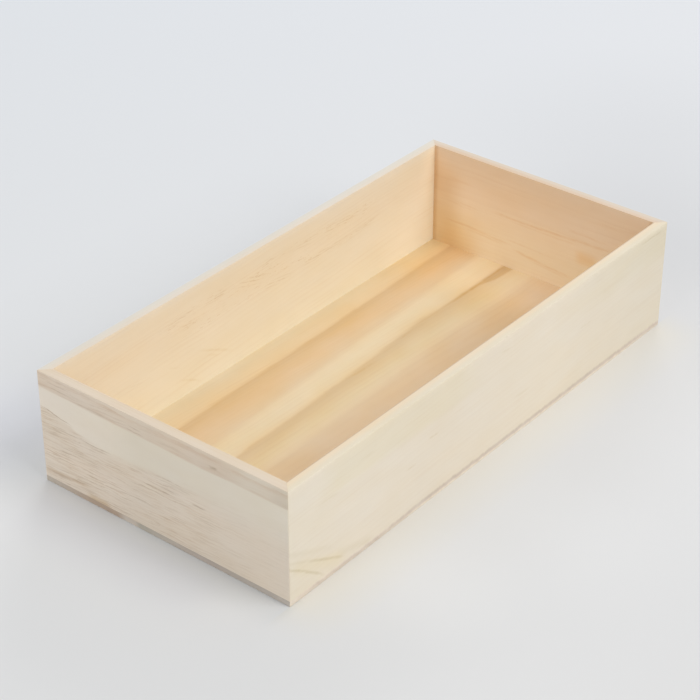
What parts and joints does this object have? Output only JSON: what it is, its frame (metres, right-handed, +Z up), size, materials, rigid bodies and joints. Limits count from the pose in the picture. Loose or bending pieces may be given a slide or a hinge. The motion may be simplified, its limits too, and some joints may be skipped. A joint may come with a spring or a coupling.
{
  "type": "open wooden box",
  "caption": "Shallow rectangular open-topped box of thin pine boards, with mitred corners and a thin bottom board fixed under its walls.",
  "frame": {"origin": "centre of the underside of the bottom board, on the surface that the box stands on", "axes": "+X along the long walls, +Y across the box from the front wall to the back wall, +Z up out of the open top"},
  "size_m": [0.4, 0.2, 0.082],
  "materials": {
    "wall_pine": "planed and sanded bare pine",
    "bottom_pine": "planed bare pine with broad growth bands",
    "brad_steel": "bright drawn wire"
  },
  "bodies": {
    "root": {"front_wall": "wall_pine", "back_wall": "wall_pine", "left_end_wall": "wall_pine", "right_end_wall": "wall_pine", "bottom_board": "bottom_pine", "bottom_brads": "brad_steel"}
  },
  "joints": []
}
